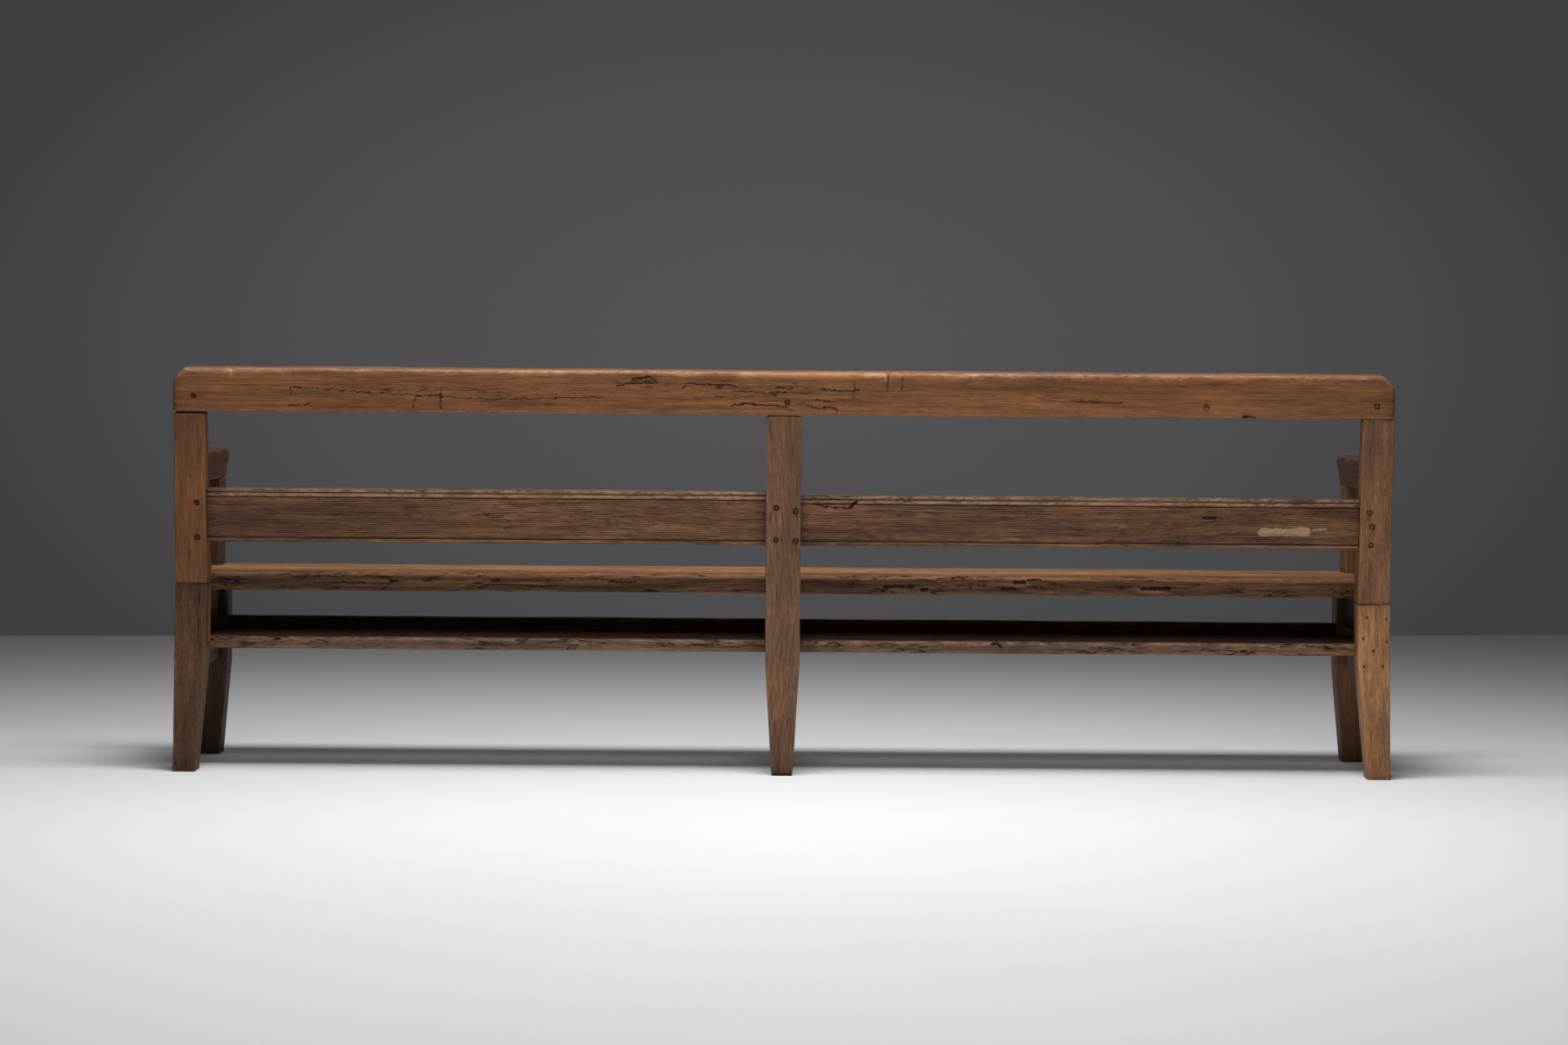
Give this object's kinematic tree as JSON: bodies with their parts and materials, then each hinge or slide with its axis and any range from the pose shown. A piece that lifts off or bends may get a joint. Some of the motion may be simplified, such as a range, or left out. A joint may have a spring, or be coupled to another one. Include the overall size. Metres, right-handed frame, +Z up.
{
  "type": "long bench",
  "caption": "Long wooden bench with arms, a low leaning back of a thick rail over beaded panels, a plank seat, an under-shelf and tapered legs, framed with pegged tenons.",
  "frame": {"origin": "on the floor, under the middle of the bounding box", "axes": "+X along the bench to the sitter's right, +Y out of the front of the seat, +Z up"},
  "size_m": [2.5, 0.48, 0.8323],
  "materials": {
    "rail_wood": "old oak, worn and waxed, honey brown",
    "post_wood": "old oak, dry brown",
    "dark_leg_wood": "old oak, grey brown",
    "pale_leg_wood": "old oak, lighter orange brown",
    "panel_wood": "old oak, dark grey brown, worn beads",
    "front_wood": "old oak, brown",
    "arm_wood": "old oak, polished by hands",
    "seat_wood": "old oak, polished by use, orange brown",
    "shelf_wood": "old oak, rounded nosing",
    "bearer_wood": "old oak, unfinished",
    "peg_wood": "oak pegs",
    "nail_iron": "rusted iron nails",
    "foot_pad": "black pad"
  },
  "bodies": {
    "root": {"top_rail": "rail_wood", "back_post_left": "post_wood", "back_post_centre": "post_wood", "back_post_right": "post_wood", "back_leg_left": "dark_leg_wood", "back_leg_right": "pale_leg_wood", "back_panel_left": "panel_wood", "back_panel_right": "panel_wood", "front_post_left": "front_wood", "front_post_right": "front_wood", "front_leg_centre": "front_wood", "armrest_left": "arm_wood", "armrest_right": "arm_wood", "seat_board_rear": "seat_wood", "seat_board_front": "seat_wood", "seat_rail_left": "bearer_wood", "seat_rail_centre": "bearer_wood", "seat_rail_right": "bearer_wood", "shelf_board": "shelf_wood", "shelf_rail_left": "bearer_wood", "shelf_rail_centre": "bearer_wood", "shelf_rail_right": "bearer_wood", "front_stretcher_left": "front_wood", "front_stretcher_right": "front_wood", "top_rail_pegs": "peg_wood", "panel_pegs": "peg_wood", "arm_pegs": "peg_wood", "seat_rail_pegs": "peg_wood", "shelf_rail_pegs": "peg_wood", "splice_nails": "nail_iron", "seat_nails": "nail_iron", "shelf_nails": "nail_iron", "centre_foot_pad": "foot_pad"}
  },
  "joints": []
}
